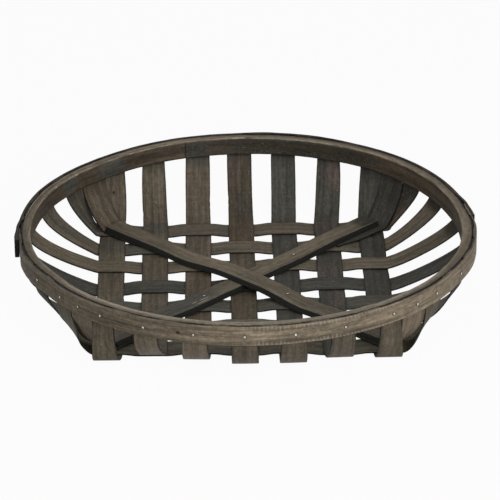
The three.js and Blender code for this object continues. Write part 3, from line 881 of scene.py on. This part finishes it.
def grained(g, colour, tone, contrast, chatter):
    """The colour made darker and lighter by the grain, and darker in the saw's marks."""
    dark, light = tone * (1 - STREAK_SHADES[0] * contrast), tone * (1 + STREAK_SHADES[1] * contrast)
    fibre, mottle = FIBRE_SHADE * contrast, MOTTLE_SHADE * contrast
    shade = g.product(g.ramp(g.streaks, 0.3, 0.7, dark, light),
                      g.ramp(g.fibres, 0.3, 0.7, 1 - fibre, 1 + fibre),
                      g.ramp(g.mottles, 0.3, 0.7, 1 - mottle, 1 + mottle),
                      g.ramp(g.marks, 0.48, 0.7, 1, 1 - chatter))
    grey = g.add("CombineXYZ", {0: shade, 1: shade, 2: shade}).outputs[0]
    return g.mix(1.0, colour, grey, "MULTIPLY")


def dusted_and_shaded(g, colour, hoop_shade):
    """The colour with pale specks of dust, and with painted shade under the hoop, in dark clouds and near
    black at the top, where the finish says so.
    """
    specks = g.ramp(g.grain_noise("specks"), 0.66, 0.73)
    dust = g.product(specks, g.ramp(g.clouds, 0.4, 0.6, 0.05, 0.35))
    # Painted shade under the hoop, in clouds of coal
    dirt = g.product(hoop_shade, g.ramp(g.clouds, 0.35, 0.65, 0.2, 0.5))
    colour = g.cover(g.cover(colour, dust, "pale"), dirt, "coal")
    # Painted shadow of the hoop, near black at the very tops of the walls
    return g.cover(colour, g.ramp(hoop_shade, 0.8, 1, 0, 0.55), "black")


def marked(g, colour, knots, chips, ticks):
    """The colour with saw ticks, knots in a darker ring, and pale chips."""
    if ticks:
        colour = g.cover(colour, saw_ticks(g, ticks), "pale")
    for centre, reach in knots:
        ring = [2.2 * r for r in reach]
        colour = g.spotted(colour, centre, ring, g.mottles, "umber", 0.5)
        colour = g.spotted(colour, centre, reach, g.mottles, "black", 0.9)
    for centre, reach in chips:
        colour = g.spotted(colour, centre, reach, g.mottles, "pale", 0.8)
    return colour


def edged(g, colour, wear, dark):
    """The colour with near-black edges, which on the braces' sides are painted shade too, and worn
    arrises, where the finish says so.
    """
    edges = g.product(dark, g.ramp(g.mottles, 0.2, 0.8, 1.15, 0.75))
    colour = g.cover(colour, g.math("MINIMUM", edges, 1.0), "black")
    scuffed = g.ramp(g.grain_noise("scuffs"), 0.4, 0.62)
    return g.cover(colour, g.product(wear, scuffed, 0.5), "pale")


def saw_ticks(g, span):
    """Pale saw marks across a band near its upper and lower edges, between two azimuths."""
    run, _, height = g.split(g.place)
    shift = g.math("MULTIPLY", g.noise(g.grain, (40, 40, 40), 2), 9)
    turn = g.math("MULTIPLY", run, 2 * math.pi / (TICK_SPACING * MM))
    wave = g.math("SINE", g.math("ADD", turn, shift))
    low, high = (RIM_TOP - OUTER_HOOP_HEIGHT) * MM, RIM_TOP * MM
    least, most = (reach * MM for reach in TICK_REACH)
    reach = g.ramp(g.noise(g.grain, (90, 9, 9), 2), 0.35, 0.65, least, most)
    above = g.math("SUBTRACT", high, height)
    edge = g.math("MINIMUM", above, g.math("SUBTRACT", height, low))
    near = g.math("LESS_THAN", edge, reach)
    start, end = (math.radians(a) * RIM_RADIUS * MM for a in span)
    fade = TICK_FADE * MM
    inside = g.product(g.ramp(run, start, start + fade), g.ramp(run, end - fade, end, 1, 0))
    return g.product(g.ramp(wave, 0.1, 0.9), near, inside, TICK_STRENGTH)


def relief(g):
    weights = ((g.fibres, 0.5), (g.streaks, 0.7), (g.marks, 0.35))
    fibres, streaks, marks = (g.math("MULTIPLY", noise, weight) for noise, weight in weights)
    g.bump(g.math("ADD", fibres, g.math("ADD", streaks, marks)), WOOD_RELIEF * MM, 0.8)


def wood(name, stain, seed, mottle="slate", amount=0.5, outside=None, chatter=0.1, contrast=1.0,
         tone=1.0, top=None, patches=(), knots=(), chips=(), ticks=None):
    """Dark stained sawn wood: streaks and fibres along the grain, saw marks across it, stain of a
    second tone in clouds, near-black edges and worn arrises, and painted shade under the hoop and on
    the braces' sides.

    outside is the stain of the lower or outer side, and top that of a band's upper face. patches are
    (centre, reach, stain, amount), and knots and chips (centre, reach). ticks are two azimuths.
    """
    g = Wood(name, seed)
    # The finish holds wear, darkness from stain and painted shade, and the painted shade under the hoop
    wear, dark, hoop_shade = g.split(g.attribute("finish"))
    colour = stained(g, stain, mottle, amount, outside, top, patches)
    colour = grained(g, colour, tone, contrast, chatter)
    colour = marked(g, dusted_and_shaded(g, colour, hoop_shade), knots, chips, ticks)
    g.paint({"Base Color": edged(g, colour, wear, dark),
             "Roughness": g.ramp(g.fibres, 0.3, 0.7, *WOOD_ROUGHNESS),
             "Specular IOR Level": WOOD_SPECULAR})
    relief(g)
    return g.owner


def steel(name):
    """Nail heads with a near-white middle, bare steel painted as a highlight, and stain round their
    edges.
    """
    g = Graph(bpy.data.materials.new(name))
    radius = g.split(g.attribute("finish"))[1]
    place = g.add("TexCoord").outputs["Object"]
    dirt = g.noise(place, (700, 700, 700), 3)
    # Painted highlight: a near-white middle of bare steel, with tan dirt in clouds
    bright = g.mix(g.ramp(dirt, 0.4, 0.65, 0, 0.7), linear("bright"), linear("tan"))
    worn = g.math("ADD", radius, g.math("MULTIPLY", g.math("SUBTRACT", dirt, 0.5), 0.5))
    dull = g.ramp(worn, 0.5, 0.72)
    g.paint({"Base Color": g.mix(dull, bright, linear("black")),
             "Metallic": g.ramp(dull, 0, 1, 0.6, 0),
             "Roughness": g.ramp(dirt, 0.3, 0.7, 0.3, 0.6)})
    g.bump(dirt, STEEL_RELIEF * MM, 0.5)
    return g.owner


# What is on each piece: its stain, the stain in its clouds, that of its outer side, its marks and some
# patches of painted shade. Places and reaches are along it, across it or outwards, and up.

INSIDE = (SPLINT_THICKNESS / 2, 4)
OUTSIDE = (-1, 1.6)
BRACE_TOP = (2.8, 6)


def patch(run, across, length, width, stain, amount, side=INSIDE):
    """A patch of stain, or of painted shade, at a side's height, and as deep as the side says."""
    height, depth = side
    return (run, across, height), (length, width, depth), stain, amount


def look(stain, mottle, outside, *patches, **more):
    """What wood() is told about a splint."""
    return dict(stain=stain, mottle=mottle, outside=outside, patches=patches, **more)


COLUMNS = [
    look("brown", "umber", "walnut", patch(107, 0, 20, 20, "slate", 0.7),
         patch(195, 4, 30, 10, "umber", 0.4), chatter=0.15, knots=[((203, -1.5, 0.8), (1.7, 1.4, 2))]),
    look("brown", "olive", "hazel", patch(150, 0, 16, 20, "slate", 0.7),
         patch(30, 0, 60, 20, "umber", 0.4), chatter=0.2, tone=0.98),
    look("brown", "plum", "hazel", patch(262, 0, 14, 20, "slate", 0.6),
         patch(-45, 0, 80, 20, "umber", 0.9), chatter=0.15),
    look("umber", "olive", "walnut", patch(192, 2, 26, 14, "charcoal", 0.6),
         patch(250, -8, 28, 9, "plum", 0.8), patch(30, 0, 30, 20, "brown", 0.6), chatter=0.15, tone=0.98),
    look("charcoal", "slate", "walnut", patch(215, 2, 45, 20, "slate", 0.7),
         patch(110, 0, 50, 20, "coal", 0.3), tone=1.02),
    look("charcoal", "plum", "walnut", patch(240, 8, 26, 10, "plum", 0.9),
         patch(195, -4, 22, 9, "slate", 0.6), patch(60, 0, 50, 20, "coal", 0.25), tone=0.98),
    look("charcoal", "coal", "walnut"),
]
ROWS = [
    look("brown", "slate", "coal", patch(165, 0, 35, 20, "umber", 0.95),
         patch(225, 0, 45, 22, "coal", 0.85), patch(-200, 0, 40, 20, "charcoal", 0.55)),
    look("brown", "slate", "coal", patch(-112, 0, 26, 20, "slate", 0.8),
         patch(243, 0, 20, 22, "black", 0.8), tone=1.15),
    look("brown", "olive", "coal", patch(250, 0, 18, 22, "black", 0.7), tone=1.18),
    look("charcoal", "slate", "coal", patch(-205, 0, 40, 20, "charcoal", 0.8)),
    look("slate", "olive", "coal", patch(-105, 0, 45, 20, "charcoal", 0.6), tone=1.2),
    # Rows 6 and 7: the black patches on the outer side of their walls are painted shade
    look("slate", "olive", "coal", patch(238, 0, 44, 26, "black", 0.9, OUTSIDE),
         patch(-234, 0, 44, 26, "black", 0.9, OUTSIDE), tone=1.4),
    # Black patches on the outer side: painted shade beside the corner splints
    look("olive", "umber", "olive", patch(184, -9, 30, 18, "black", 0.95, OUTSIDE),
         patch(-186, -9, 28, 18, "black", 0.95, OUTSIDE),
         patch(216, 0, 16, 24, "hazel", 0.4, (-1, 1.4))),
]
CORNERS = {
    "back_right": look("coal", "slate", "coal", chips=[((266.7, 14.3, 1.2), (1.3, 0.8, 1))]),
    "front_right": look("umber", "olive", "hazel"),
    "front_left": look("umber", "olive", "brown"),
    "back_left": look("brown", "umber", "coal"),
}
BRACES = [
    dict(patches=[patch(200, 0, 18, 16, "coal", 0.85, BRACE_TOP),
                  patch(-115, 0, 80, 16, "charcoal", 0.95, BRACE_TOP)],
         chips=[((-66, 4, 2.8), (7, 0.7, 1)), ((-80, 3, 2.8), (4, 0.6, 1)),
                ((-72, 8, 2.8), (9, 0.6, 1))]),
    dict(patches=[patch(60, 2, 60, 8, "hazel", 0.5, BRACE_TOP)]),
]
INNER_HOOP = dict(
    stain="umber", mottle="coal", amount=0.45, top="hazel", tone=0.94,
    patches=[patch(1324, 235.8, 16, 3, "slate", 0.8, (69, 12)),
             patch(1397, 235.8, 22, 3, "slate", 0.8, (64, 14)),
             patch(-57, 235.8, 16, 3, "slate", 0.8, (65, 14)),
             patch(-42, 235.8, 12, 3, "plum", 0.7, (67, 9)),
             patch(1499, 235.8, 0.7, 4, "black", 0.7, (65, 14)),
             patch(785, 240, 240, 7, "pale", 0.42, (76, 1.7)),
             patch(40, 235.8, 130, 3, "coal", 0.58, (65, 14)),
             patch(0, 240, 170, 7, "tan", 0.4, (76, 1.7))],
    chips=[((1338, 236.2, 75.4), (2.6, 0.9, 0.9)), ((1296, 236.4, 75.6), (1.6, 0.8, 0.8)),
           ((-9, 236.4, 75.5), (5, 0.8, 0.7)), ((-1, 236.4, 75.6), (3, 0.7, 0.6))])
BACK_BAND_WOOD = dict(stain="umber", mottle="slate")
FRONT_BAND_WOOD = dict(
    stain="tan", mottle="brown", ticks=(140, 185), tone=0.93, contrast=1.3,
    patches=[patch(1050, 250, 170, 4, "walnut", 0.85, (65, 40)),
             patch(905, 250, 70, 4, "walnut", 0.4, (66, 20)),
             patch(700, 250, 70, 4, "brown", 0.4, (60, 4)),
             patch(862, 250, 24, 4, "umber", 0.5, (65.6, 3))],
    knots=[((862.3, 250, 65.6), (2.2, 3, 1.2))])


# Making


for i in numbers:
    material = wood(f"column_wood_{i + 1}", seed=i, **COLUMNS[i])
    dress(column_splint(i), f"column_splint_{i + 1}", material)
for i in numbers:
    material = wood(f"row_wood_{i + 1}", seed=10 + i, **ROWS[i])
    dress(row_splint(i), f"row_splint_{i + 1}", material)
for i, (corner, finish) in enumerate(CORNERS.items()):
    material = wood(f"corner_wood_{corner}", seed=20 + i, **finish)
    dress(corner_splint(corner, 30 + i), f"corner_splint_{corner}", material)
for i, node in enumerate(("brace_lower", "brace_upper")):
    material = wood(f"brace_wood_{i + 1}", "brown", 30 + i, mottle="olive", chatter=0.05, tone=1.2,
                    **BRACES[i])
    dress(brace(i), node, material)
dress(inner_hoop(), "inner_hoop", wood("inner_hoop_wood", seed=40, **INNER_HOOP))
dress(outer_hoop_back(), "outer_hoop_back", wood("back_band_wood", seed=41, **BACK_BAND_WOOD))
dress(outer_hoop_front(), "outer_hoop_front", wood("front_band_wood", seed=42, **FRONT_BAND_WOOD))

nail_steel = steel("nail_steel")
for number, node in enumerate(sorted(n for n in frame["nodes"] if "nail" in n)):
    dress(nail_head(f"{node}_steel", node, 80 + number), node, nail_steel)


# Stage: a floor of this grey, seen nearly white, and the world's light

FLOOR_REACH = 6.0
FLOOR_GREY = 0.62
FLOOR_WHITE = 0.95
WORLD_LIGHT = 0.3
WHITE = (1, 1, 1, 1)


def stage_floor():
    """A pale floor that the camera sees nearly white, with the basket's faint shadow."""
    mesh = bpy.data.meshes.new("floor")
    corners = [(x * FLOOR_REACH, y * FLOOR_REACH, 0) for x, y in ((-1, -1), (1, -1), (1, 1), (-1, 1))]
    mesh.from_pydata(corners, [], [(0, 1, 2, 3)])
    g = Graph(bpy.data.materials.new("floor_paint"))
    g.paint({"Base Color": (FLOOR_GREY, FLOOR_GREY, FLOOR_GREY, 1), "Roughness": 0.9,
             "Specular IOR Level": 0})
    white = g.add("Emission", {"Color": WHITE, "Strength": 1.0})
    paint = g.tree.nodes["Principled BSDF"]
    seen = g.math("MULTIPLY", seen_directly(g), FLOOR_WHITE)
    blend = g.add("MixShader", {0: seen, 1: paint.outputs[0], 2: white.outputs[0]})
    g.put(g.tree.nodes["Material Output"].inputs["Surface"], blend.outputs[0])
    mesh.materials.append(g.owner)
    new_object("floor", mesh)


def seen_directly(g):
    """1 for what the camera sees, straight or in a gloss or through glass."""
    ray = g.add("LightPath").outputs
    seen = ray["Is Camera Ray"]
    for kind in ("Is Glossy Ray", "Is Transmission Ray"):
        seen = g.math("MAXIMUM", seen, ray[kind])
    return seen


def area_light(name, azimuth, elevation, distance, size, power):
    """A round lamp that faces the origin, with sizes in metres."""
    data = bpy.data.lights.new(name, "AREA")
    data.shape, data.size, data.energy = "DISK", size, power
    lamp = new_object(name, data)
    e = math.radians(elevation)
    back = Vector(outward(azimuth)) * math.cos(e) + Vector((0, 0, math.sin(e)))
    lamp.location = back * distance
    lamp.rotation_euler = back.to_track_quat("Z", "Y").to_euler()


def world():
    """White where the camera sees it, and a weaker light on the basket."""
    g = Graph(bpy.data.worlds.new("studio"))
    bpy.context.scene.world = g.owner
    plain = g.tree.nodes["Background"]
    g.put(plain.inputs["Color"], WHITE)
    g.put(plain.inputs["Strength"], WORLD_LIGHT)
    bright = g.add("Background", {"Color": WHITE, "Strength": 1.0})
    blend = g.add("MixShader", {0: seen_directly(g), 1: plain.outputs[0], 2: bright.outputs[0]})
    g.put(g.tree.nodes["World Output"].inputs["Surface"], blend.outputs[0])


# The photograph's camera: where it stood, in metres and degrees, its long lens in pixels, and the
# basket's origin in the picture
CAMERA_DISTANCE = 3.999
CAMERA_AZIMUTH = 0.696
CAMERA_ELEVATION = 26.04
CAMERA_ROLL = -0.571
FOCAL_PIXELS = 3631.3
IMAGE_SIZE = 500
ORIGIN_PIXEL = (247.44, 287.29)
SENSOR_WIDTH = 36


def camera():
    a, e, r = map(math.radians, (CAMERA_AZIMUTH, CAMERA_ELEVATION, CAMERA_ROLL))
    forward = Vector((math.sin(a) * math.cos(e), math.cos(a) * math.cos(e), -math.sin(e)))
    right = forward.cross(Vector((0, 0, 1))).normalized()
    up = right.cross(forward)
    right, up = (right * math.cos(r) + up * math.sin(r), up * math.cos(r) - right * math.sin(r))
    place = -forward * CAMERA_DISTANCE
    half = IMAGE_SIZE / 2
    aim = (forward - right * ((ORIGIN_PIXEL[0] - half) / FOCAL_PIXELS)
           + up * ((ORIGIN_PIXEL[1] - half) / FOCAL_PIXELS)).normalized()
    right = (right - aim * right.dot(aim)).normalized()
    up = right.cross(aim)
    data = bpy.data.cameras.new("camera")
    data.sensor_width = SENSOR_WIDTH
    data.lens = FOCAL_PIXELS / IMAGE_SIZE * SENSOR_WIDTH
    data.clip_end = 50
    eye = new_object("camera", data)
    turn = Matrix((right, up, -aim)).transposed().to_4x4()
    eye.matrix_world = Matrix.Translation(place) @ turn
    bpy.context.scene.camera = eye


stage_floor()
area_light("key", azimuth=158, elevation=26, distance=3.0, size=2.2, power=69)
area_light("fill", azimuth=235, elevation=26, distance=3.2, size=2.5, power=18)
area_light("top", azimuth=0, elevation=85, distance=3.0, size=3.0, power=8)
world()
camera()
bpy.context.scene.view_settings.view_transform = "Standard"
